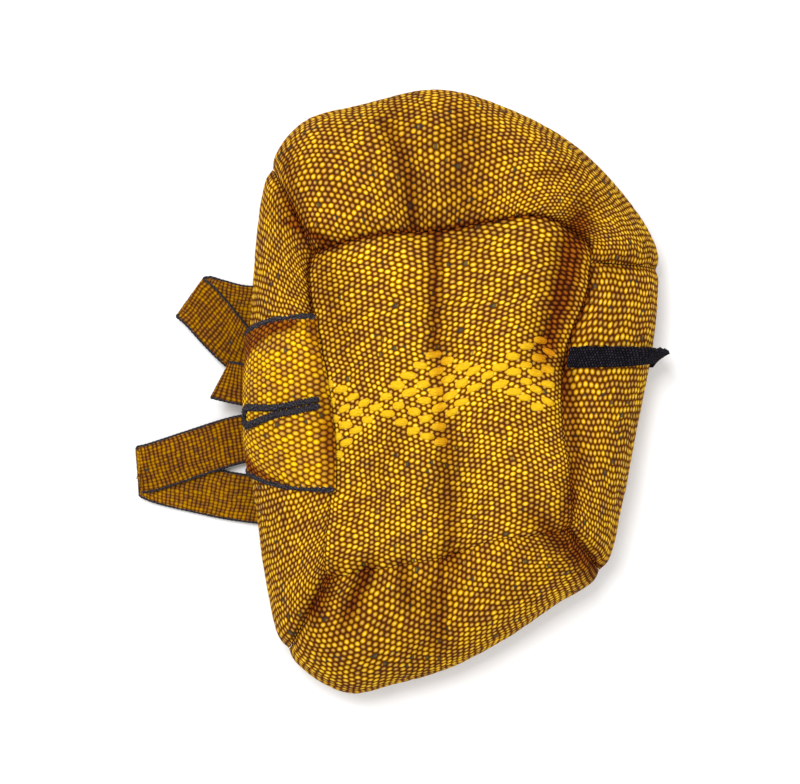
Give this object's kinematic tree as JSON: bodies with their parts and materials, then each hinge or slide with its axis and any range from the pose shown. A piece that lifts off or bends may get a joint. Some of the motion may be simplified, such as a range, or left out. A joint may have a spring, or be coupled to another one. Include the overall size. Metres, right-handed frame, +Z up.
{
  "type": "hand-woven morral backpack",
  "caption": "Small soft backpack of coarse hand-woven wool, lying on its back: body with gusset sides, flap with a bound buttonhole, shoulder straps, a hanging loop and a black band.",
  "frame": {"origin": "middle of the footprint, on the surface that the bag lies on", "axes": "+X from the mouth towards the foot of the bag, +Y towards the side that the viewer of the standing bag sees on the right, +Z up from the surface through the front panel"},
  "size_m": [0.3736, 0.4206, 0.086],
  "materials": {
    "wool_cloth": "coarse hand-woven wool, golden yellow weft over a dark brown warp, matt",
    "strap_webbing": "ribbed hand-woven wool band, brown gold with black selvages, matt",
    "black_yarn": "black plied yarn, braided or stitched, slight sheen"
  },
  "bodies": {
    "root": {"right_side": "wool_cloth", "foot": "wool_cloth", "left_side": "wool_cloth", "mouth_side": "wool_cloth", "front_panel": "wool_cloth", "back_panel": "wool_cloth", "flap": "wool_cloth", "buttonhole_binding": "black_yarn", "right_strap": "strap_webbing", "left_strap": "strap_webbing", "hanging_loop": "strap_webbing", "black_band": "black_yarn"}
  },
  "joints": []
}
